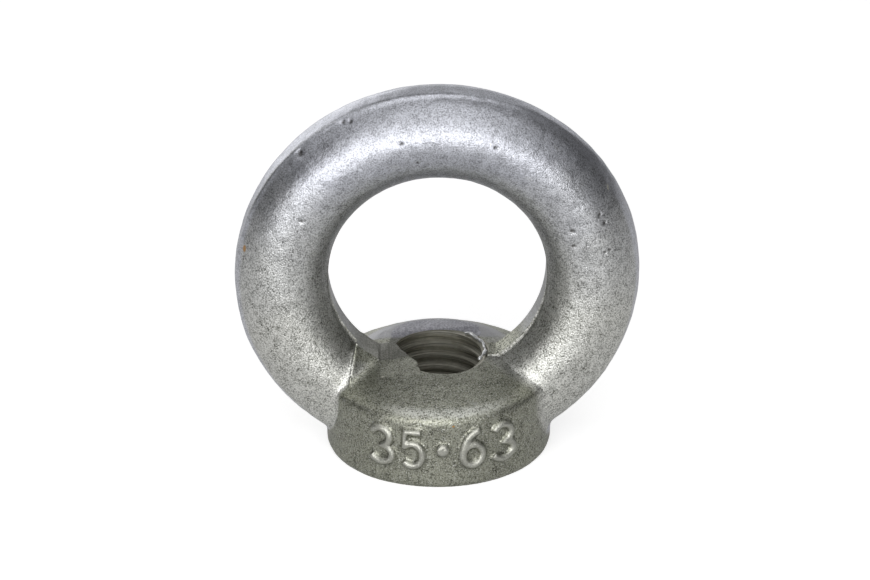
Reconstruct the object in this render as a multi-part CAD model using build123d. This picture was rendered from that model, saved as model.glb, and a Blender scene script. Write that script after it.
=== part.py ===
"""Lifting eye nut: a drop-forged ring on a round foot, tapped from below for a metric screw.

One piece. The forging dies part on the plane of the ring, so the ring's rim carries the stub
of the trimmed flash, and the eye is punched through the web that the dies leave inside the
ring. The same punch shaves the crown of the foot flat. The origin is the centre of the seating
face, on the thread's axis, with +Z up towards the ring. The ring stands in the XZ plane, and
the eye runs through along Y. Lengths are in millimetres.
"""
from build123d import *
import os

# Thread
thread_diameter = 16.0
thread_pitch = 2.0
lead_in_clearance = 0.5       # countersink's mouth past the thread's crest, on the radius

# Foot
foot_diameter = 35.0
foot_edge_break = 0.5
shoulder_height = 12.4        # top of the upright band
shoulder_radius = 1.2
crown_height = 15.3           # shaved flat around the tapped hole
crown_shaving = 0.15          # stock that the punch takes off the crown
crown_wall = 2.4              # forged flat from the bore's wall outwards
crown_blend_radius = 5.0

# Ring
ring_outer_diameter = 63.0    # over the trimmed flash
ring_section_width = 14.2     # of the round section, from the eye outwards
ring_section_depth = 14.0     # of the round section, along the eye's axis
ring_centre_height = 29.1
flash_stub_height = 0.3       # how far the trimmed flash stands off the round section
flash_stub_width = 2.6

# Eye
eye_diameter = 34.0
eye_rise = 0.6                # the eye sits this much higher than the ring's centre
web_thickness = 4.0

# Worked out from the sizes above
bore_radius = (thread_diameter - 1.0825 * thread_pitch) / 2
lead_in_radius = thread_diameter / 2 + lead_in_clearance
foot_radius = foot_diameter / 2
crown_radius = bore_radius + crown_wall
forged_crown_height = crown_height + crown_shaving
ring_outer_radius = ring_outer_diameter / 2
ring_path_radius = ring_outer_radius - flash_stub_height - ring_section_width / 2


def forged_ring():
    """Round section with the flash stub outside and the web inside, turned about the eye's axis."""
    stub_tip = flash_stub_width / 2
    flank = ring_section_width / 4
    with BuildSketch() as section:
        with Locations((ring_path_radius, 0)):
            Ellipse(ring_section_width / 2, ring_section_depth / 2)
        with BuildLine():
            Polyline(
                (ring_outer_radius, -stub_tip),
                (ring_outer_radius, stub_tip),
                (ring_outer_radius - flank, stub_tip + flank),
                (ring_outer_radius - flank, -stub_tip - flank),
                close=True,
            )
        make_face()
        Rectangle(ring_path_radius, web_thickness, align=(Align.MIN, Align.CENTER))
    ring = revolve(section.sketch, axis=Axis((0, 0, 0), (0, 1, 0)))
    return Pos(0, 0, ring_centre_height) * ring


def forged_foot():
    """Round foot with an upright band, a soft shoulder and a low conical crown."""
    with BuildSketch(Plane.XZ) as profile:
        with BuildLine():
            Polyline(
                (0, 0),
                (foot_radius - foot_edge_break, 0),
                (foot_radius, foot_edge_break),
                (foot_radius, shoulder_height),
                (crown_radius, forged_crown_height),
                (0, forged_crown_height),
                close=True,
            )
        make_face()
        shoulder = profile.vertices().sort_by_distance((foot_radius, shoulder_height))[0]
        fillet(shoulder, shoulder_radius)
        crown_rim = profile.vertices().sort_by_distance((crown_radius, forged_crown_height))[0]
        fillet(crown_rim, crown_blend_radius)
    return revolve(profile.sketch, axis=Axis.Z)


def stock_under_the_seat():
    """What facing takes off below the seating face."""
    across = 2 * ring_outer_diameter
    return Box(across, across, ring_outer_diameter, align=(Align.CENTER, Align.CENTER, Align.MAX))


def eye_punch():
    """Round punch along Y, with a flat underside at the height of the shaved crown."""
    with BuildSketch(Plane.XZ) as outline:
        with Locations((0, ring_centre_height + eye_rise)):
            Circle(eye_diameter / 2)
        with Locations((0, crown_height)):
            Rectangle(
                2 * ring_outer_diameter,
                2 * ring_outer_diameter,
                align=(Align.CENTER, Align.MIN),
                mode=Mode.INTERSECT,
            )
    return extrude(outline.sketch, amount=foot_diameter, both=True)


def tapping_bore():
    """Bore at the thread's minor diameter, with a countersink at the seating face."""
    run_out = thread_pitch        # how far the cuts run past both faces
    on_its_base = (Align.CENTER, Align.CENTER, Align.MIN)
    bore = Cylinder(bore_radius, crown_height + 2 * run_out, align=on_its_base)
    depth = lead_in_radius - bore_radius + run_out
    countersink = Cone(lead_in_radius + run_out, bore_radius, depth, align=on_its_base)
    return Pos(0, 0, -run_out) * (bore + countersink)


def eye_nut():
    """The forged blank, faced, punched and bored."""
    blank = forged_ring() + forged_foot()
    return blank - stock_under_the_seat() - eye_punch() - tapping_bore()


os.makedirs("parts", exist_ok=True)
export_step(eye_nut(), "parts/eye_nut.step")
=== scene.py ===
"""Lifting eye nut: the finished look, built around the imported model.

The nut is one forging: a ring on a round foot. It is modelled here the way it is made. The
blank is put together from a ring, a foot, the web inside the ring, the stub of the trimmed
flash, a gusset and the raised numbers, and a remesh gives it the dies' soft corners. Then the
eye is punched, the seat is faced and the hole is tapped and countersunk, each as a crisp cut
with a finish of its own. The burr that the tap tears up is laid on the hole's mouth at last.
"""

import math
import random
from types import SimpleNamespace

import bpy
from mathutils import Matrix, Vector


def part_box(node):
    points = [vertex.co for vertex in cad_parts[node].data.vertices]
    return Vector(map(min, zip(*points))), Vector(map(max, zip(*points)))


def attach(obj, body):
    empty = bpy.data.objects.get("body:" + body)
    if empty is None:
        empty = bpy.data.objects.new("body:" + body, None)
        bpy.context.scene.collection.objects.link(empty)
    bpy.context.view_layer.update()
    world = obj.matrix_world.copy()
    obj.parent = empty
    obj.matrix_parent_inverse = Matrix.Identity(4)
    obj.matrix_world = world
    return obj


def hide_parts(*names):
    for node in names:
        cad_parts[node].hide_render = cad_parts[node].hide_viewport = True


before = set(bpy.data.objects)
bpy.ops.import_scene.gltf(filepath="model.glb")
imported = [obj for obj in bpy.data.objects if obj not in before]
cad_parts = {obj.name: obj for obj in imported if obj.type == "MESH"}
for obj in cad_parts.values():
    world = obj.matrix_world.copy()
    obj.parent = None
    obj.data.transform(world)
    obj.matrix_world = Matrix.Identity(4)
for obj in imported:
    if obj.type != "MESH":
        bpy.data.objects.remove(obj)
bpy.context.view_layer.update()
nut_low, nut_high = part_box("eye_nut")

MM = 0.001
chance = random.Random(16)

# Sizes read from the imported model
FOOT_RADIUS = (nut_high.y - nut_low.y) / 2
RING_OUTER_RADIUS = (nut_high.x - nut_low.x) / 2
RING_CENTRE_HEIGHT = nut_high.z - RING_OUTER_RADIUS

# Ring, web and flash
RING_SECTION_RADIUS = 7.3 * MM
RING_SECTION_DEPTH = 14.0 * MM
FLASH_STUB = 0.1 * MM         # how far the flash stands off the round section
RING_PATH_RADIUS = RING_OUTER_RADIUS - FLASH_STUB - RING_SECTION_RADIUS
WEB_THICKNESS = 4.0 * MM
FLASH_THICKNESS = 2.4 * MM
FLASH_TURN = 1.0              # degrees: the dies' mismatch puts the flash further forward at the left
WIDE_FLASH_LEAN = 2.8         # degrees: where the dies gaped, it reaches further forward still
WIDE_FLASH_DIRECTION = 140    # degrees round the ring, from the right

# Foot: radius and height in millimetres, from under the seat up over band, shoulder and crown
FOOT_STATIONS = [
    (17.0, -0.6), (17.0, 0.0), (17.5, 0.5), (17.5, 10.8), (17.4, 11.35), (17.15, 11.8), (16.7, 12.2),
    (16.0, 12.6), (15.0, 13.1), (13.5, 13.8), (12.2, 14.35), (11.0, 14.8), (10.0, 14.96),
    (9.0, 15.1), (8.0, 15.2), (6.9, 15.26), (5.0, 15.28), (3.0, 15.28)]
BAND_RADIUS = 17.5            # mm, as in the stations
SHOULDER_LINE = (16.3 * MM, 12.45 * MM)  # radius and height of the shoulder's middle
CROWN_HEIGHT = 15.3 * MM      # shaved flat around the hole
CROWN_SLOPE = 0.4             # how steeply the crown falls outside its flat
CROWN_FLAT_RADIUS = 9.3       # mm
SQUARE_TO_CROWN = 0.93        # turns a height over that slope into a distance square to it
CROWN_TILT_HEIGHTS = (13.0, 14.5)  # mm: the crown's tilt starts and is full
CROWN_RISE_TO_BACK = 0.025
CROWN_FALL_TO_RIGHT = 0.0094

# Raised numbers
FIGURE_HEIGHT = 5.8 * MM
FIGURE_WIDTH = 3.2 * MM
FIGURE_STROKE = 1.2 * MM
FIGURE_PITCH = 4.7 * MM
FIGURE_RELIEF = 0.7 * MM
FIGURES_CENTRE = Vector((0.2, 0, 6.7)) * MM
MIDDLE_DOT = "·"

# Gusset: its corners, and the two ends of its root on the crown, in millimetres
GUSSET_CORNERS = {
    ("left", "front", "low"): (-14.4, -8.4, 12.0), ("left", "front", "high"): (-12.65, -2.9, 19.6),
    ("left", "back", "low"): (-12.6, 2.4, 12.0), ("left", "back", "high"): (-11.4, 2.4, 19.6),
    ("right", "front", "low"): (-7.5, -3.2, 12.0), ("right", "front", "high"): (-7.5, -0.7, 17.5),
    ("right", "back", "low"): (-7.5, 2.4, 12.0), ("right", "back", "high"): (-7.5, 2.4, 17.5)}
GUSSET_ROOT = ((-9.3, -2.8, 15.1), (-12.0, -5.5, 13.95))

# The blank's skin: how finely it is remeshed and how often each part of it is smoothed
VOXEL = 0.22 * MM
BLANK_TRIANGLES = 180_000
ROOT_ROUNDS = 60
GUSSET_ROUNDS = 220
RIM_ROUNDS = 36
ALL_OVER_ROUNDS = 3

# Where the smoothing starts and is full, in millimetres
ROOT_REACH = (4.0, 2.0)       # from the ring's skin and the foot's together
ROOT_RADII = (10.5, 12.5)     # from the foot's axis
ROOT_WANE_RADII = (15.5, 17.5)  # and where it grows weaker again
ROOT_WANE = 0.4
LEFT_ROOT_SHARE = 0.12        # the left root is crisper than the right one
RIM_FOOT_START = (5.2, 17.4)  # the rim meets the band past these, from the ring's path and the axis
RIM_FOOT_SHARE = 0.5
GUSSET_ROOT_REACH = (4.0, 2.2)
GUSSET_CRISP_EDGE = (0.4, 1.6)
RIM_REACH = (-1.5, -0.5)      # from the ring's outer radius

# Lumps that scale and worn dies leave: their size and height
DIE_LUMPS = (6 * MM, 0.16 * MM)
SCALE_LUMPS = (1.6 * MM, 0.07 * MM)

# Pits: where, and how far each reaches, in millimetres
PITS = [
    ((-21.0, -3.2, 51.3), 0.8), ((-14.3, -2.9, 56.3), 0.5), ((-13.2, -3.3, 56.6), 0.5),
    ((-5.5, -6.8, 54.2), 0.45), ((20.8, -6.9, 38.8), 0.55), ((25.0, -6.0, 41.2), 0.5),
    ((25.8, -6.0, 39.8), 0.5), ((21.0, -6.7, 36.2), 0.4), ((26.6, -6.3, 35.3), 0.45),
    ((25.9, -6.6, 34.9), 0.4), ((9.1, -6.8, 53.3), 0.4), ((-21.1, -7.0, 41.4), 0.4),
    ((-2.9, -6.7, 50.9), 0.4)]
PIT_DEPTH = 0.18 * MM
PIT_SPREAD = 1.3              # the hollow reaches past the dark spot

# Cuts
EYE_RADIUS = 17.0 * MM
EYE_CENTRE_HEIGHT = RING_CENTRE_HEIGHT + 0.6 * MM
BACK_RELIEF_START = 3.6       # mm behind the foot's axis
BACK_FALL = 2.5               # degrees
BACK_TURN = -7                # degrees
THREAD_PITCH = 2.0 * MM
THREAD_MAJOR_RADIUS = 8.0 * MM
BORE_RADIUS = THREAD_MAJOR_RADIUS - 0.5413 * THREAD_PITCH
THREAD_FLANK = 30             # degrees
TAP_HEIGHTS = (-2 * MM, 18 * MM)
LEAD_IN_RADIUS = 8.5 * MM
SEAT_SKIM = 0.001             # mm that facing takes off above the frame's floor
PLANE_CUT_REACH = 0.1 * MM * MM

# Unbroken lip: its ragged edge over the hole, and two points behind it under the crown, in mm
LIP_EDGE = [
    (-6.7, 2.7), (-6.25, 1.7), (-5.8, 0.2), (-5.2, -0.6), (-4.78, -1.72), (-4.3, -2.3),
    (-3.85, -3.1), (-3.38, -3.8), (-3.25, -4.4), (-3.4, -5.2), (-3.0, -6.24), (-3.15, -8.6)]
LIP_BACK = [(-9.5, -8.0), (-10, 3.0)]
LIP_UNDERSIDE = 14.75
LIP_BACK_DROP = 0.5           # how much lower the underside is behind
LIP_TOP = 20

# Torn burr
BURR_START = -30              # degrees from the right
BURR_STEP = 4.6               # degrees
BURR_STEPS = 19
BURR_RADIUS = THREAD_MAJOR_RADIUS - 0.7 * MM
BURR_THICKNESS = 0.42 * MM
BURR_VOXEL = 0.12 * MM

# Finish of the blasted skin
BLAST_GRAIN = 0.24 * MM
GRAIN_DEPTH = 0.08 * MM
BLAST_ROUGHNESS = 0.38
# Each on the low ring, on the high ring and on the foot
DARK_GRAINS = ("#606158", "#85868B", "#4A4B41")
PALE_GRAINS = ("#F2F2ED", "#CCCED6", "#B1B2A4")
BRIGHT_NICKS = [((-9.3, -7.4, 14.7), (0.9, 0.5, 0.35)), ((26.5, -3.2, 44.3), (0.3, 0.5, 1.0))]
RUST_SPECKS = [((-29.9, -3.2, 35.1), (0.5, 0.5, 0.7)), ((1.9, -17.4, 10.7), (0.25, 0.3, 0.2))]

# Where each finish, painted shade and painted highlight starts and is full
BRIGHT_HEIGHTS = (22 * MM, 50 * MM)
BRIGHT_RAGGEDNESS = 14 * MM
FOOT_AT_RIGHT = (7.6 * MM, 9.4 * MM)      # from the middle line of the ring's section
FOOT_AT_LEFT = (7.45 * MM, 7.8 * MM)
LEFT_TO_RIGHT = (-1 * MM, 1 * MM)
# Painted shade on the ring's inner faces inside the eye
SHADED_INSIDE_EYE = (RING_PATH_RADIUS - 6.3 * MM, RING_PATH_RADIUS - 2.5 * MM)
TRIMMED_RIM = (RING_OUTER_RADIUS - 1.0 * MM, RING_OUTER_RADIUS - 0.4 * MM)
BEHIND_THE_WEB = (3.8 * MM, 5 * MM)
SHAVED_HEIGHTS = (14 * MM, 14.4 * MM)
# Painted highlight across the front of the foot's shoulder
PAINTED_SHOULDER_HIGHLIGHT = (1.3 * MM, 0.3 * MM)
SHOULDER_HIGHLIGHT_CENTRE = 1 * MM
SHOULDER_HIGHLIGHT_FADE = (12 * MM, 5 * MM)
PROUD_OF_BAND = (FOOT_RADIUS + 0.2 * MM, FOOT_RADIUS + 0.5 * MM)
FRONT_OF_BAND = (-11 * MM, -10 * MM)
LOW_IN_EYE = (20.5 * MM, 17 * MM)
RIGHT_OF_HOLE = (3 * MM, 8 * MM)

# Studio: each lamp's place round the nut and above it in degrees, its size in metres, and the
# light that it throws square on the nut, as a share of plain daylight
LAMP_DISTANCE = 0.45
LAMPS = [
    ("front_strip", -10, 8, 0.66, 0.14, 0.53),
    ("front_box", -6, 36, 0.60, 0.30, 0.42),
    ("top_box", 0, 78, 0.40, 0.30, 0.20),
    ("left_box", -108, 46, 0.35, 0.35, 0.11),
    ("right_box", 70, 56, 0.36, 0.30, 0.08),
    ("right_strip", 60, 28, 0.20, 0.12, 0.018),
    ("back_strip", 170, 9, 0.40, 0.16, 0.08),
    ("back_left_strip", -150, 12, 0.36, 0.28, 0.18),
    ("back_box", 165, 45, 0.30, 0.20, 0.05)]
WORLD_LEVEL = 0.08
FLOOR_GLOW = 0.7              # brings the floor up to white for the camera
FLOOR_GLOW_IN_METAL = 0.2     # the share of that glow which the metal mirrors

# Camera
CAMERA_ELEVATION = 26.556     # degrees
CAMERA_AZIMUTH = -1.253       # degrees
CAMERA_ROLL = 0.511           # degrees
CAMERA_ANGLE = 5.1666         # degrees
CAMERA_AIM = Vector((-0.414, -1.713, 26.556)) * MM
CAMERA_DISTANCE = 1500 * MM


# ---------------------------------------------------------------- helpers

def linear(hex_colour):
    """sRGB hex to a linear colour with alpha."""
    channels = [int(hex_colour[i:i + 2], 16) / 255 for i in (1, 3, 5)]
    return [c / 12.92 if c <= 0.04045 else ((c + 0.055) / 1.055) ** 2.4 for c in channels] + [1]


def placed(x, y, z):
    """A place or a size given in millimetres."""
    return Vector((x, y, z)) * MM


def share_between(value, start, end):
    """0 up to the start, 1 from the end on, and even in between."""
    return min(1, max(0, (value - start) / (end - start)))


def select_only(piece):
    bpy.ops.object.select_all(action="DESELECT")
    piece.select_set(True)
    bpy.context.view_layer.objects.active = piece


def edit_all(piece):
    """Opens a piece for editing, with all of it selected."""
    select_only(piece)
    bpy.ops.object.mode_set(mode="EDIT")
    bpy.ops.mesh.select_all(action="SELECT")


def finish_editing():
    bpy.ops.object.mode_set(mode="OBJECT")


def apply_place(piece):
    """Puts the object's place, turn and scale into its mesh."""
    select_only(piece)
    bpy.ops.object.transform_apply(location=True, rotation=True, scale=True)


def apply_modifier(piece, kind, **settings):
    select_only(piece)
    modifier = piece.modifiers.new(kind.lower(), kind)
    for name, value in settings.items():
        setattr(modifier, name, value)
    bpy.ops.object.modifier_apply(modifier=modifier.name)


def give_steel(piece, steel):
    """Makes one steel the piece's only material."""
    piece.data.materials.clear()
    piece.data.materials.append(steel)


def new_object(name, data):
    """Puts a new mesh, curve, lamp or camera into the scene."""
    thing = bpy.data.objects.new(name, data)
    bpy.context.scene.collection.objects.link(thing)
    return thing


def new_material(name):
    material = bpy.data.materials.new(name)
    material.use_nodes = True
    material.node_tree.nodes.clear()
    return material, material.node_tree


def add_node(tree, kind, links=None, **settings):
    """Adds a node. Settings are its own, and links are its inputs, by name or number.

    An input takes a value, a socket, or a node, which stands for its first working output.
    """
    node = tree.nodes.new("ShaderNode" + kind)
    for name, value in settings.items():
        setattr(node, name, value)
    for name, value in (links or {}).items():
        working = enumerate(node.inputs)
        target = next(socket for i, socket in working if socket.enabled and name in (i, socket.name))
        if isinstance(value, bpy.types.Node):
            value = next(output for output in value.outputs if output.enabled)
        if isinstance(value, bpy.types.NodeSocket):
            tree.links.new(value, target)
        else:
            target.default_value = value
    return node


# ---------------------------------------------------------------- patterns

def grains(tree, place, size, detail=2.0, roughness=0.5, stretch=(1, 1, 1)):
    """Noise whose grains are so many metres across. Stretch lengthens them along an axis."""
    drawn_out = add_node(tree, "Mapping", {"Vector": place, "Scale": [1 / s for s in stretch]})
    return add_node(tree, "TexNoise", {
        "Vector": drawn_out, "Scale": 1 / size, "Detail": detail, "Roughness": roughness})


def mask(tree, *limits, curve="SMOOTHSTEP"):
    """The product of several limits.

    A limit is a number, another mask, or a value with its start and its end. It is 0 at the
    start and 1 at the end, unless the two shares there follow.
    """
    product = None
    for limit in limits:
        if isinstance(limit, tuple):
            value, start, end, *shares = limit
            at_start, at_end = shares or (0.0, 1.0)
            limit = add_node(tree, "MapRange", {
                "Value": value, "From Min": start, "From Max": end,
                "To Min": at_start, "To Max": at_end}, interpolation_type=curve)
        if product is None:
            product = limit
        else:
            product = add_node(tree, "Math", {0: product, 1: limit}, operation="MULTIPLY")
    return product


def coat(tree, under, over, *limits, curve="SMOOTHSTEP"):
    """Lays one colour over another, within limits. A colour is a hex value or a node."""
    under, over = (linear(c) if isinstance(c, str) else c for c in (under, over))
    return add_node(
        tree, "Mix", {"Factor": mask(tree, *limits, curve=curve), "A": under, "B": over},
        data_type="RGBA")


def distance(tree, a, b, centre=(0, 0)):
    """How far a place on a flat, given by its two parts, is from a centre on it."""
    place = add_node(tree, "CombineXYZ", {"X": a, "Y": b})
    return add_node(tree, "VectorMath", {0: place, 1: (*centre, 0)}, operation="DISTANCE")


def spot(tree, place, centre, size, edge=0.6):
    """1 inside an oval spot, fading to 0 at its rim. Its centre and size are in millimetres."""
    moved = add_node(tree, "VectorMath", {0: place, 1: placed(*centre)}, operation="SUBTRACT")
    shrunk = add_node(tree, "VectorMath", {0: moved, 1: placed(*size)}, operation="DIVIDE")
    away = add_node(tree, "VectorMath", {0: shrunk}, operation="LENGTH")
    return mask(tree, (away, edge, 1.0, 1.0, 0.0))


def bare_metal(tree, colour, roughness, skin, depth):
    """Ends a material as uncoated metal, with its skin raised by so many metres."""
    bump = add_node(tree, "Bump", {"Height": skin, "Strength": 1.0, "Distance": depth})
    metal = add_node(tree, "BsdfPrincipled", {
        "Base Color": colour, "Metallic": 1.0, "Roughness": roughness, "Normal": bump})
    add_node(tree, "OutputMaterial", {"Surface": metal})


# ---------------------------------------------------------------- blasted steel

def blasted_skin(tree):
    """What the blasted steel's colours go by: places, distances, grains and zones."""
    skin = SimpleNamespace()
    skin.place = add_node(tree, "TexCoord").outputs["Object"]
    skin.x, skin.y, skin.z = add_node(tree, "SeparateXYZ", {"Vector": skin.place}).outputs
    skin.from_foot_axis = distance(tree, skin.x, skin.y)
    skin.from_ring_axis = distance(tree, skin.x, skin.z, (0, RING_CENTRE_HEIGHT))
    from_ring_middle = distance(tree, skin.from_ring_axis, skin.y, (RING_PATH_RADIUS, 0))

    skin.grain = grains(tree, skin.place, BLAST_GRAIN, detail=1.5, roughness=0.7)
    skin.mottle = grains(tree, skin.place, 1.3 * MM, detail=3.0, roughness=0.6)
    off_grey = add_node(tree, "Math", {0: skin.mottle, 1: 0.5}, operation="SUBTRACT")
    skin.speckle = add_node(
        tree, "Math", {0: off_grey, 1: 0.35, 2: skin.grain}, operation="MULTIPLY_ADD")

    # The grain colours change from those low on the ring to those high on it, with a ragged change between
    # them
    clouds = grains(tree, skin.place, 9 * MM)
    lift = add_node(tree, "Math", {0: clouds, 1: 0.5}, operation="SUBTRACT")
    ragged_height = add_node(
        tree, "Math", {0: lift, 1: BRIGHT_RAGGEDNESS, 2: skin.z}, operation="MULTIPLY_ADD")
    skin.bright = mask(tree, (ragged_height, *BRIGHT_HEIGHTS), curve="LINEAR")

    skin.foot = add_node(tree, "Mix", {
        "Factor": mask(tree, (skin.x, *LEFT_TO_RIGHT)),
        "A": mask(tree, (from_ring_middle, *FOOT_AT_LEFT)),
        "B": mask(tree, (from_ring_middle, *FOOT_AT_RIGHT))})
    skin.off_foot = mask(tree, (skin.foot, 1.0, 0.0))
    skin.trimmed = mask(tree, (skin.from_ring_axis, *TRIMMED_RIM), skin.off_foot)
    return skin


def blast_grain_colour(tree, skin):
    """Dark and pale grains, and a painted glint here and there, low down."""
    shades = []
    for low_ring, high_ring, on_foot in (DARK_GRAINS, PALE_GRAINS):
        on_ring = coat(tree, low_ring, high_ring, skin.bright)
        shades.append(coat(tree, on_ring, on_foot, skin.foot))
    colour = coat(tree, *shades, (skin.speckle, 0.28, 0.61), curve="LINEAR")
    # Painted glints: single grains painted near-white, low on the ring and on the foot
    painted_glints = grains(tree, skin.place, 0.8 * BLAST_GRAIN, detail=1.0)
    low_down = mask(tree, (skin.bright, 0.0, 0.8, 0.7, 0.0), curve="LINEAR")
    return coat(tree, colour, "#F0F1ED", (painted_glints, 0.60, 0.72), low_down)


def zone_colours(tree, skin, colour):
    """Painted shade inside the eye, and the zones that trimming and punching leave smoother, with a painted
    reflection on the trimmed rim.
    """
    # Painted shade: inside the eye the ring's inner faces are painted dark, most of all low down
    low_down = mask(tree, (skin.bright, 0.0, 0.9, 1.0, 0.0), curve="LINEAR")
    colour = coat(
        tree, colour, "#47483F", (skin.from_ring_axis, *SHADED_INSIDE_EYE, 0.5, 0.0), low_down, skin.off_foot)
    # The trimmed rim is smoother, and painted pale bluish-white as a painted reflection of white
    # surroundings
    on_rim = coat(tree, "#BEC0C7", "#E9EBF4", (skin.speckle, 0.3, 0.7))
    colour = coat(tree, colour, on_rim, skin.trimmed, 0.8)
    # The punch has shaved the back of the crown smooth
    return coat(
        tree, colour, "#A9A9AF",
        skin.foot, (skin.y, *BEHIND_THE_WEB), (skin.z, *SHAVED_HEIGHTS), 0.8)


def edge_highlights_and_corner_shade(tree, skin, colour):
    """A painted highlight across the foot's shoulder, the raised numbers and convex edges rubbed and painted
    bright, and painted shade with some dirt in every corner.
    """
    from_shoulder = distance(tree, skin.from_foot_axis, skin.z, SHOULDER_LINE)
    off_middle = distance(tree, skin.x, 0, (SHOULDER_HIGHLIGHT_CENTRE, 0))
    # Painted highlight across the front of the shoulder, broken into patches like worn metal
    colour = coat(
        tree, colour, "#DEDFD8", (from_shoulder, *PAINTED_SHOULDER_HIGHLIGHT),
        (skin.speckle, 0.38, 0.6, 0.1, 0.8), (off_middle, *SHOULDER_HIGHLIGHT_FADE))
    # The raised numbers' faces are painted paler: rubbed zinc with a painted highlight on it
    colour = coat(
        tree, colour, "#D2D2CA",
        (skin.from_foot_axis, *PROUD_OF_BAND), (skin.y, *FRONT_OF_BAND, 0.55, 0.0))
    # Painted shade and some dirt in every corner and crease; rubbed zinc and a painted highlight along every
    # convex edge
    edges = add_node(tree, "NewGeometry").outputs["Pointiness"]
    colour = coat(tree, colour, "#2A2924", (edges, 0.50, 0.44, 0.0, 0.45))
    return coat(tree, colour, "#DEDFDF", (edges, 0.53, 0.60, 0.0, 0.2))


def small_marks(tree, skin, colour):
    """Pits, bright nicks and specks of rust. Pits and nicks have ragged outlines."""
    raggedness = 0.9 * MM
    noise = add_node(tree, "TexNoise", {"Vector": skin.place, "Scale": 1 / (0.7 * MM)})
    pushed = add_node(tree, "VectorMath", {
        0: noise.outputs["Color"], 1: [raggedness] * 3, 2: skin.place}, operation="MULTIPLY_ADD")
    ragged_place = add_node(tree, "VectorMath", {0: pushed, 1: [raggedness / 2] * 3}, operation="SUBTRACT")
    for centre, size in PITS:
        pit = spot(tree, ragged_place, centre, (size, size, size), edge=0.2)
        colour = coat(tree, colour, "#3B3732", pit, 0.75)
    for centre, size in BRIGHT_NICKS:
        colour = coat(tree, colour, "#F6F4E6", spot(tree, ragged_place, centre, size), 0.9)
    for centre, size in RUST_SPECKS:
        colour = coat(tree, colour, "#C7944E", spot(tree, skin.place, centre, size), 0.85)
    return colour


def blasted_steel():
    """Drop-forged steel, shot-blasted and zinc-coated.

    Pale grey with a fine grain and painted glints. Its grains are smoother and bluer at the top
    of the ring, coarser, olive and more contrasting lower down, and darker on the foot. Inside the
    eye it has painted shade, and on the trimmed rim a painted reflection of white surroundings.
    Its corners have painted shade and some dirt, its raised edges are rubbed and painted bright,
    the front of the shoulder has a painted highlight, and there are one or two specks of rust.
    The grains are drawn coarser than real ones, so that they show.
    """
    material, tree = new_material("blasted_zinc_coated_steel")
    skin = blasted_skin(tree)
    colour = blast_grain_colour(tree, skin)
    colour = zone_colours(tree, skin, colour)
    colour = edge_highlights_and_corner_shade(tree, skin, colour)
    colour = small_marks(tree, skin, colour)
    shallow_above = mask(tree, (skin.bright, 0.0, 1.0, 1.0, 0.55), curve="LINEAR")
    depth = mask(tree, shallow_above, (skin.trimmed, 0.0, 1.0, 1.0, 0.4))
    height = add_node(tree, "Math", {
        0: skin.mottle, 1: 0.8, 2: mask(tree, skin.grain, depth)}, operation="MULTIPLY_ADD")
    bare_metal(tree, colour, BLAST_ROUGHNESS, height, GRAIN_DEPTH)
    return material


# ---------------------------------------------------------------- cut steel

def sheared_steel():
    """Steel sheared by the punch: the inner wall of the eye and the shaved crown.

    Smoother than the blasted skin and faintly streaked along the stroke, which runs along Y. Low
    in the eye it is painted darker, as painted shade, and the crown at the right of the hole stays
    rough.
    """
    material, tree = new_material("sheared_steel")
    place = add_node(tree, "TexCoord").outputs["Object"]
    x, y, z = add_node(tree, "SeparateXYZ", {"Vector": place}).outputs
    streaks = grains(tree, place, 0.22 * MM, detail=3.0, roughness=0.6, stretch=(1, 14, 1))
    grain = grains(tree, place, 0.3 * MM)
    patches = grains(tree, place, 3 * MM)
    # Painted shade: low in the eye the sheared metal is painted darker
    low = mask(tree, (z, *LOW_IN_EYE))
    behind = mask(tree, (y, *BEHIND_THE_WEB))
    pale = coat(tree, "#C2C3C6", coat(tree, "#989891", "#BBBBC2", behind), low)
    dark = coat(tree, "#9C9C9A", coat(tree, "#72726B", "#8D8D94", behind), low)
    marks = add_node(tree, "Mix", {"Factor": 0.7, "A": streaks, "B": grain})
    colour = coat(tree, dark, pale, (marks, 0.38, 0.62))
    colour = coat(tree, colour, dark, (patches, 0.35, 0.7, 0.0, 0.3))
    rough = coat(tree, DARK_GRAINS[2], PALE_GRAINS[2], (grain, 0.35, 0.6))
    colour = coat(tree, colour, rough, (x, *RIGHT_OF_HOLE), low, (behind, 1.0, 0.0))
    roughness = mask(tree, (patches, 0.3, 0.7, 0.34, 0.46), curve="LINEAR")
    skin = add_node(tree, "Math", {0: streaks, 1: 0.4, 2: grain}, operation="MULTIPLY_ADD")
    bare_metal(tree, colour, roughness, skin, 0.03 * MM)
    return material


def turned_steel(name, dark, pale):
    """Steel cut by a turning edge or a tap: fine rings about the foot's axis, filmed with oil."""
    material, tree = new_material(name)
    place = add_node(tree, "TexCoord").outputs["Object"]
    x, y, z = add_node(tree, "SeparateXYZ", {"Vector": place}).outputs
    across = add_node(tree, "CombineXYZ", {"X": distance(tree, x, y), "Z": z})
    rings = grains(tree, across, 0.2 * MM, detail=3.0)
    patches = grains(tree, place, 1.5 * MM, detail=3.0)
    colour = coat(tree, dark, pale, (rings, 0.35, 0.65))
    colour = coat(tree, colour, dark, (patches, 0.4, 0.7, 0.0, 0.5))
    roughness = mask(tree, (patches, 0.3, 0.7, 0.42, 0.58), curve="LINEAR")
    bare_metal(tree, colour, roughness, rings, 0.02 * MM)
    return material


def torn_steel():
    """Bare steel torn up by the tap: the brightest metal on the nut, and jagged."""
    material, tree = new_material("torn_bare_steel")
    place = add_node(tree, "TexCoord").outputs["Object"]
    bare_metal(tree, linear("#E4E5E6"), 0.3, grains(tree, place, 0.4 * MM), 0.1 * MM)
    return material


# ---------------------------------------------------------------- forging

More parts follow.
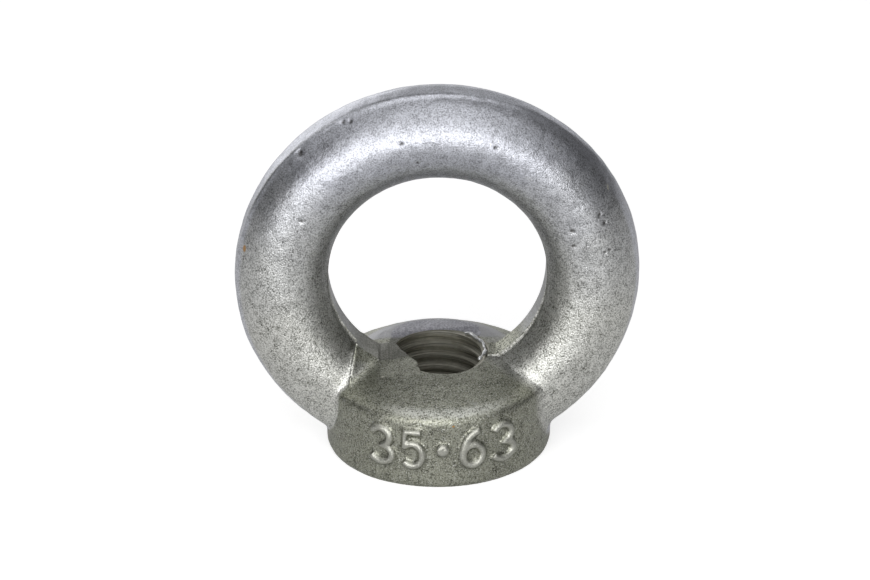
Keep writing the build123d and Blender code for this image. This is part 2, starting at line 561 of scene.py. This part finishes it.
def disc_along_y(radius, thickness, height, vertices=256):
    bpy.ops.mesh.primitive_cylinder_add(
        vertices=vertices, radius=radius, depth=thickness,
        location=(0, 0, height), rotation=(math.pi / 2, 0, 0))
    disc = bpy.context.object
    apply_place(disc)
    return disc


def forged_ring():
    """The ring's round section, a little shallower along the eye than it is wide."""
    bpy.ops.mesh.primitive_torus_add(
        major_segments=288, minor_segments=96,
        major_radius=RING_PATH_RADIUS, minor_radius=RING_SECTION_RADIUS,
        location=(0, 0, RING_CENTRE_HEIGHT), rotation=(math.pi / 2, 0, 0))
    ring = bpy.context.object
    apply_place(ring)
    ring.scale.y = RING_SECTION_DEPTH / 2 / RING_SECTION_RADIUS
    apply_place(ring)
    return ring


def forged_foot():
    """A disc drawn up station by station, with its crown tilted by the dies."""
    first_radius, first_height = FOOT_STATIONS[0]
    bpy.ops.mesh.primitive_circle_add(
        vertices=180, radius=first_radius * MM, fill_type="NGON", location=(0, 0, first_height * MM))
    foot = bpy.context.object
    edit_all(foot)
    for (r0, z0), (r1, z1) in zip(FOOT_STATIONS, FOOT_STATIONS[1:]):
        bpy.ops.mesh.extrude_region_move(TRANSFORM_OT_translate={"value": (0, 0, (z1 - z0) * MM)})
        bpy.ops.transform.resize(value=(r1 / r0, r1 / r0, 1), center_override=(0, 0, z1 * MM))
    bpy.ops.mesh.select_all(action="SELECT")
    bpy.ops.mesh.normals_make_consistent(inside=False)
    finish_editing()
    apply_place(foot)
    for vertex in foot.data.vertices:
        x, y, z = vertex.co
        tilt = share_between(z / MM, *CROWN_TILT_HEIGHTS)
        vertex.co.z += tilt * (CROWN_RISE_TO_BACK * y - CROWN_FALL_TO_RIGHT * x)
    return foot


def gusset():
    """Extra metal where the web runs into the crown beside the ring's left leg: a cube whose
    corners are pulled into place."""
    bpy.ops.mesh.primitive_cube_add(size=2)
    wedge = bpy.context.object
    for vertex in wedge.data.vertices:
        side = "left" if vertex.co.x < 0 else "right"
        face = "front" if vertex.co.y < 0 else "back"
        level = "low" if vertex.co.z < 0 else "high"
        vertex.co = placed(*GUSSET_CORNERS[side, face, level])
    return wedge


def flash():
    """The trimmed fin that the dies squeeze out round the ring, wider at the upper left."""
    fin = disc_along_y(RING_OUTER_RADIUS, FLASH_THICKNESS, RING_CENTRE_HEIGHT)
    fin.rotation_euler.z = math.radians(FLASH_TURN)
    apply_place(fin)
    leaning = disc_along_y(RING_OUTER_RADIUS, FLASH_THICKNESS, 0)
    across = math.radians(WIDE_FLASH_DIRECTION - 90)
    axis = Vector((math.cos(across), 0, math.sin(across)))
    leaning.data.transform(Matrix.Rotation(math.radians(WIDE_FLASH_LEAN), 4, axis))
    leaning.data.transform(Matrix.Translation((0, 0, RING_CENTRE_HEIGHT)))
    return [fin, leaning]


def arc(centre, half_width, half_height, start, end, steps=20):
    """Points along part of an ellipse, by angles in degrees from the right."""
    angles = [math.radians(start + (end - start) * i / steps) for i in range(steps + 1)]
    return [(centre[0] + half_width * math.cos(t), centre[1] + half_height * math.sin(t)) for t in angles]


# The strokes of each figure, in a box one unit wide and one unit high about its middle
FIGURES = {
    "3": [arc((-0.02, 0.24), 0.42, 0.26, 155, -90) + arc((0, -0.25), 0.5, 0.25, 90, -155)[1:]],
    "5": [[(0.42, 0.5), (-0.34, 0.5), (-0.4, 0.06)] + arc((-0.02, -0.17), 0.5, 0.33, 135, -140)],
    "6": [arc((0.42, -0.18), 0.9, 0.68, 95, 180) + arc((0, -0.2), 0.48, 0.3, 180, 540, 36)],
    MIDDLE_DOT: [arc((0, 0), 0.15, 0.08, 0, 360)],
}


def bead_along(name, points, radius, sizes=None, smoothness=0):
    """A round bead through the points, thicker or thinner by its sizes."""
    curve = bpy.data.curves.new(name, "CURVE")
    curve.dimensions = "3D"
    curve.bevel_depth = radius
    curve.bevel_resolution = smoothness
    curve.use_fill_caps = True
    line = curve.splines.new("POLY")
    line.points.add(len(points) - 1)
    for point, place, size in zip(line.points, points, sizes or [1] * len(points)):
        point.co = (*place, 1)
        point.radius = size
    select_only(new_object(name, curve))
    bpy.ops.object.convert(target="MESH")
    return bpy.context.object


def raised_stroke(points):
    """A bead that follows the band, half sunk in it."""
    sink = FOOT_RADIUS + FIGURE_RELIEF - FIGURE_STROKE / 2
    on_band = [(x, -math.sqrt(sink * sink - x * x), z) for x, z in points]
    return bead_along("stroke", on_band, FIGURE_STROKE / 2, smoothness=5)


def raised_numbers():
    """Plain numbers that stand off the front of the band: the foot's and the ring's diameters."""
    foot_size = round(2 * FOOT_RADIUS / MM)
    ring_size = round(2 * RING_OUTER_RADIUS / MM)
    text = f"{foot_size}{MIDDLE_DOT}{ring_size}"
    beads = []
    for place, figure in enumerate(text):
        across = FIGURES_CENTRE.x + FIGURE_PITCH * (place - (len(text) - 1) / 2)
        for stroke in FIGURES[figure]:
            beads.append(raised_stroke([
                (across + FIGURE_WIDTH * x, FIGURES_CENTRE.z + FIGURE_HEIGHT * z) for x, z in stroke]))
    return beads


def root_weight(place):
    """How far the corner between ring and foot is softened: 0 away from it."""
    x, y, z = place / MM
    from_path = math.hypot(x, z - RING_CENTRE_HEIGHT / MM) - RING_PATH_RADIUS / MM
    from_ring = abs(math.hypot(from_path, y) - RING_SECTION_RADIUS / MM)
    radius = math.hypot(x, y)
    crown = CROWN_HEIGHT / MM - CROWN_SLOPE * max(0, radius - CROWN_FLAT_RADIUS)
    from_foot = abs(max(radius - BAND_RADIUS, (z - crown) * SQUARE_TO_CROWN))
    weight = share_between(from_ring + from_foot, *ROOT_REACH)
    weight *= 1 - ROOT_WANE * share_between(radius, *ROOT_WANE_RADII)
    weight *= share_between(radius, *ROOT_RADII)
    rim_start, band_start = RIM_FOOT_START
    if from_path > rim_start and radius > band_start:
        weight = max(weight, RIM_FOOT_SHARE)
    return weight * (1.0 if x > 0 else LEFT_ROOT_SHARE)


def distance_to_line(place, start, end):
    """How far a place is from the line between two others, all in millimetres."""
    start, end = Vector(start), Vector(end)
    along = end - start
    share = min(1, max(0, (place - start).dot(along) / along.length_squared))
    return (place - start - share * along).length


def gusset_weight(place):
    """1 along the gusset's root on the crown, 0 elsewhere and 0 by its crisp left edge."""
    left_edge = [GUSSET_CORNERS["left", "front", level] for level in ("low", "high")]
    from_root = distance_to_line(place / MM, *GUSSET_ROOT)
    from_edge = distance_to_line(place / MM, *left_edge)
    return share_between(from_root, *GUSSET_ROOT_REACH) * share_between(from_edge, *GUSSET_CRISP_EDGE)


def rim_weight(place):
    """1 on the rim that the flash leaves, 0 elsewhere."""
    from_axis = math.hypot(place.x, place.z - RING_CENTRE_HEIGHT)
    return share_between((from_axis - RING_OUTER_RADIUS) / MM, *RIM_REACH)


def soften(blank, weigh, rounds):
    """Smooths the skin, each vertex by its weight."""
    group = blank.vertex_groups.new(name="soft")
    for vertex in blank.data.vertices:
        weight = weigh(vertex.co)
        if weight > 0:
            group.add([vertex.index], weight, "REPLACE")
    apply_modifier(blank, "SMOOTH", factor=0.5, iterations=rounds, vertex_group="soft")
    blank.vertex_groups.clear()


def uneven(blank, name, size, height):
    """Pushes the skin in and out a little, in lumps of about one size."""
    lumps = bpy.data.textures.new(name, "CLOUDS")
    lumps.noise_scale = size
    lumps.noise_depth = 1
    apply_modifier(blank, "DISPLACE", texture=lumps, texture_coords="LOCAL",
                   strength=height, mid_level=0.5)


def press_pits(blank):
    """Presses each pit a little way into the skin."""
    marks = [(placed(*centre), PIT_SPREAD * size * MM) for centre, size in PITS]
    for vertex in blank.data.vertices:
        for centre, reach in marks:
            away = (vertex.co - centre).length
            if away < reach:
                vertex.co -= vertex.normal * PIT_DEPTH * (1 - away / reach)


def forged_blank(steel):
    """The forging before any cut: all its parts in one skin."""
    parts = [
        forged_ring(), forged_foot(), *raised_numbers(),
        disc_along_y(RING_PATH_RADIUS, WEB_THICKNESS, RING_CENTRE_HEIGHT),
        *flash(), gusset()]
    bpy.ops.object.select_all(action="DESELECT")
    for part in parts:
        part.select_set(True)
    bpy.context.view_layer.objects.active = parts[0]
    bpy.ops.object.join()
    blank = bpy.context.object
    blank.name = "forged_nut"
    apply_modifier(blank, "REMESH", mode="VOXEL", voxel_size=VOXEL, use_smooth_shade=True)
    soften(blank, root_weight, ROOT_ROUNDS)
    soften(blank, gusset_weight, GUSSET_ROUNDS)
    soften(blank, rim_weight, RIM_ROUNDS)
    apply_modifier(blank, "SMOOTH", factor=0.5, iterations=ALL_OVER_ROUNDS)
    uneven(blank, "worn_die_lumps", *DIE_LUMPS)
    uneven(blank, "scale_lumps", *SCALE_LUMPS)
    press_pits(blank)
    give_steel(blank, steel)
    triangles = sum(len(p.vertices) - 2 for p in blank.data.polygons)
    apply_modifier(blank, "DECIMATE", ratio=BLANK_TRIANGLES / triangles)
    return blank


# ---------------------------------------------------------------- cuts

def cut(piece, cutter):
    """Takes the cutter's shape out of a piece. The cut faces get the cutter's steel."""
    apply_modifier(piece, "BOOLEAN", operation="DIFFERENCE", solver="EXACT", object=cutter,
                   material_mode="TRANSFER")
    bpy.data.objects.remove(cutter)


def add_to(piece, extra):
    """Joins a small closed piece, sunk part way into the skin."""
    select_only(piece)
    extra.select_set(True)
    bpy.ops.object.join()


def trim(piece, place, normal, keep="below"):
    """Cuts a closed piece along a plane, closes it there, and keeps what lies above or below."""
    edit_all(piece)
    bpy.ops.mesh.bisect(plane_co=place, plane_no=normal, use_fill=True, threshold=PLANE_CUT_REACH,
                        clear_inner=keep == "above", clear_outer=keep == "below")
    finish_editing()


def eye_punch(steel):
    """Round punch with a flat underside, which shaves the crown as it shears the web out.

    Its underside is relieved at the back, so the shaved crown falls away a little there.
    """
    crown = CROWN_HEIGHT / MM
    bpy.ops.mesh.primitive_cube_add(size=1)
    relief = bpy.context.object
    relief.scale = placed(60, 100, 3 * crown)
    apply_place(relief)
    trim(relief, placed(0, 0, crown), (0, 0, 1))
    fall = math.radians(BACK_FALL)
    turn = math.radians(BACK_TURN)
    back_normal = (-math.sin(fall) * math.sin(turn), math.sin(fall) * math.cos(turn), math.cos(fall))
    trim(relief, placed(0, BACK_RELIEF_START, crown), back_normal)
    punch = disc_along_y(EYE_RADIUS, 4 * FOOT_RADIUS, EYE_CENTRE_HEIGHT, vertices=360)
    cut(punch, relief)
    give_steel(punch, steel)
    return punch


def tap_thread():
    """The tap's outline, screwed up through the foot a turn at a time."""
    depth = THREAD_MAJOR_RADIUS - BORE_RADIUS
    flank = depth * math.tan(math.radians(THREAD_FLANK))
    crest = THREAD_PITCH / 4
    outline = [(BORE_RADIUS, 0), (BORE_RADIUS, crest), (THREAD_MAJOR_RADIUS, crest + flank),
               (THREAD_MAJOR_RADIUS, THREAD_PITCH - flank), (BORE_RADIUS, THREAD_PITCH)]
    start = -4 * THREAD_PITCH
    steps_a_turn = 96
    turns = 14
    vertices = []
    for step in range(steps_a_turn * turns + 1):
        angle = 2 * math.pi * step / steps_a_turn
        lift = start + THREAD_PITCH * step / steps_a_turn
        for radius, height in outline:
            vertices.append((radius * math.cos(angle), radius * math.sin(angle), lift + height))
    row = len(outline)
    faces = []
    for step in range(steps_a_turn * turns):
        for i in range(row - 1):
            a = step * row + i
            faces.append((a, a + row, a + row + 1, a + 1))
    mesh = bpy.data.meshes.new("tap")
    mesh.from_pydata(vertices, [], faces)
    tap = new_object("tap", mesh)
    edit_all(tap)
    bpy.ops.mesh.remove_doubles(threshold=0.002 * MM)
    finish_editing()
    lowest, highest = TAP_HEIGHTS
    trim(tap, (0, 0, lowest), (0, 0, 1), keep="above")
    trim(tap, (0, 0, highest), (0, 0, 1))
    edit_all(tap)
    bpy.ops.mesh.normals_make_consistent(inside=False)
    finish_editing()
    return tap


def unbroken_lip():
    """The flap of crown over the front left of the hole, where the drill didn't break out."""
    vertices = [placed(x, y, LIP_UNDERSIDE) for x, y in LIP_EDGE]
    vertices += [placed(x, y, LIP_UNDERSIDE - LIP_BACK_DROP) for x, y in LIP_BACK]
    vertices += [placed(x, y, LIP_TOP) for x, y in LIP_EDGE + LIP_BACK]
    count = len(LIP_EDGE + LIP_BACK)
    faces = [tuple(range(count))[::-1], tuple(range(count, 2 * count))]
    for i in range(count):
        j = (i + 1) % count
        faces.append((i, j, j + count, i + count))
    mesh = bpy.data.meshes.new("lip")
    mesh.from_pydata(vertices, [], faces)
    lip = new_object("lip", mesh)
    edit_all(lip)
    bpy.ops.mesh.quads_convert_to_tris()
    bpy.ops.mesh.normals_make_consistent(inside=False)
    finish_editing()
    return lip


def tapping_tool(steel):
    tap = tap_thread()
    cut(tap, unbroken_lip())
    give_steel(tap, steel)
    return tap


def seat_facing(steel):
    """The lathe's cut across the underside."""
    thickness = 6
    bpy.ops.mesh.primitive_cube_add(size=1)
    facing = bpy.context.object
    facing.scale = placed(60, 60, thickness)
    facing.location = placed(0, 0, SEAT_SKIM - thickness / 2)
    apply_place(facing)
    give_steel(facing, steel)
    return facing


def countersink(steel):
    """A cone at 45 degrees that runs past the seat below and past the bore's wall above."""
    below, above = 2 * MM, 1 * MM
    depth = LEAD_IN_RADIUS + (below + above) - BORE_RADIUS
    bpy.ops.mesh.primitive_cone_add(
        vertices=192, radius1=LEAD_IN_RADIUS + below, radius2=BORE_RADIUS - above, depth=depth)
    tool = bpy.context.object
    tool.location.z = depth / 2 - below
    apply_place(tool)
    give_steel(tool, steel)
    return tool


def torn_burr(steel):
    """The ragged bright lip that the tap tears up round the right of the hole's mouth."""
    edge = []
    sizes = []
    for step in range(BURR_STEPS):
        angle = math.radians(BURR_START + BURR_STEP * step)
        radius = BURR_RADIUS + chance.uniform(-0.15, 0.15) * MM
        height = CROWN_HEIGHT + chance.uniform(-0.15, 0.1) * MM
        edge.append((radius * math.cos(angle), radius * math.sin(angle), height))
        sizes.append(chance.uniform(0.3, 1.1))
    burr = bead_along("burr", edge, BURR_THICKNESS, sizes, smoothness=2)
    apply_modifier(burr, "REMESH", mode="VOXEL", voxel_size=BURR_VOXEL, use_smooth_shade=True)
    give_steel(burr, steel)
    return burr


# ---------------------------------------------------------------- studio

def white_floor():
    """A matt white floor that glows for the camera, so that it shows white, and keeps shadows."""
    bpy.ops.mesh.primitive_plane_add(size=4)
    floor = bpy.context.object
    floor.name = "floor"
    material, tree = new_material("matt_white_floor")
    matt = add_node(tree, "BsdfDiffuse", {"Color": linear("#C8C8C8")})
    path = add_node(tree, "LightPath").outputs
    in_metal = mask(tree, path["Is Glossy Ray"], FLOOR_GLOW_IN_METAL)
    seen = add_node(tree, "Math", {0: path["Is Camera Ray"], 1: in_metal}, operation="MAXIMUM")
    glow = add_node(tree, "Emission", {"Color": linear("#FFFFFF"), "Strength": mask(tree, seen, FLOOR_GLOW)})
    both = add_node(tree, "AddShader", {0: matt, 1: glow})
    add_node(tree, "OutputMaterial", {"Surface": both})
    floor.data.materials.append(material)
    return floor


def direction(azimuth, elevation):
    """The way from the nut at two angles in radians. Azimuth 0 is in front, positive to the right."""
    flat = math.cos(elevation)
    return Vector((math.sin(azimuth) * flat, -math.cos(azimuth) * flat, math.sin(elevation)))


def soft_light(name, azimuth, elevation, width, height, strength):
    """A soft white lamp that faces the nut."""
    lamp = bpy.data.lights.new(name, "AREA")
    lamp.shape = "RECTANGLE"
    lamp.size = width
    lamp.size_y = height
    lamp.energy = strength * (math.pi * LAMP_DISTANCE) ** 2
    out = direction(math.radians(azimuth), math.radians(elevation))
    holder = new_object(name, lamp)
    holder.location = (nut_low + nut_high) / 2 + out * LAMP_DISTANCE
    holder.rotation_mode = "QUATERNION"
    holder.rotation_quaternion = out.to_track_quat("Z", "Y")
    holder.visible_camera = False


def plain_world(level):
    world = bpy.data.worlds.new("studio")
    bpy.context.scene.world = world
    world.use_nodes = True
    background = world.node_tree.nodes["Background"]
    background.inputs["Color"].default_value = (1, 1, 1, 1)
    background.inputs["Strength"].default_value = level


def set_camera():
    """Looks down at the nut from in front, from so far away that its lines stay nearly parallel."""
    azimuth = math.radians(CAMERA_AZIMUTH)
    roll = math.radians(CAMERA_ROLL)
    back = direction(azimuth, math.radians(CAMERA_ELEVATION))
    right = Vector((math.cos(azimuth), math.sin(azimuth), 0))
    up = back.cross(right)
    turned_right = right * math.cos(roll) - up * math.sin(roll)
    turned_up = right * math.sin(roll) + up * math.cos(roll)
    lens = bpy.data.cameras.new("camera")
    lens.angle = math.radians(CAMERA_ANGLE)
    lens.clip_start = 0.1
    lens.clip_end = 20
    camera = new_object("camera", lens)
    camera.rotation_mode = "QUATERNION"
    camera.rotation_quaternion = Matrix((turned_right, turned_up, back)).transposed().to_quaternion()
    camera.location = CAMERA_AIM + back * CAMERA_DISTANCE
    bpy.context.scene.camera = camera


# ---------------------------------------------------------------- the nut and its scene

blasted = blasted_steel()
sheared = sheared_steel()
faced = turned_steel("faced_steel", "#8F8E88", "#BDBCB6")
tapped = turned_steel("tapped_steel", "#8E8C81", "#C6C4B9")
torn = torn_steel()
nut = forged_blank(blasted)
cut(nut, eye_punch(sheared))
cut(nut, seat_facing(faced))
cut(nut, tapping_tool(tapped))
cut(nut, countersink(tapped))
add_to(nut, torn_burr(torn))
bpy.ops.object.shade_smooth_by_angle(angle=math.radians(35))

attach(nut, "root")
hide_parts("eye_nut")

white_floor()
for lamp in LAMPS:
    soft_light(*lamp)
plain_world(WORLD_LEVEL)
set_camera()
bpy.context.scene.view_settings.view_transform = "Standard"
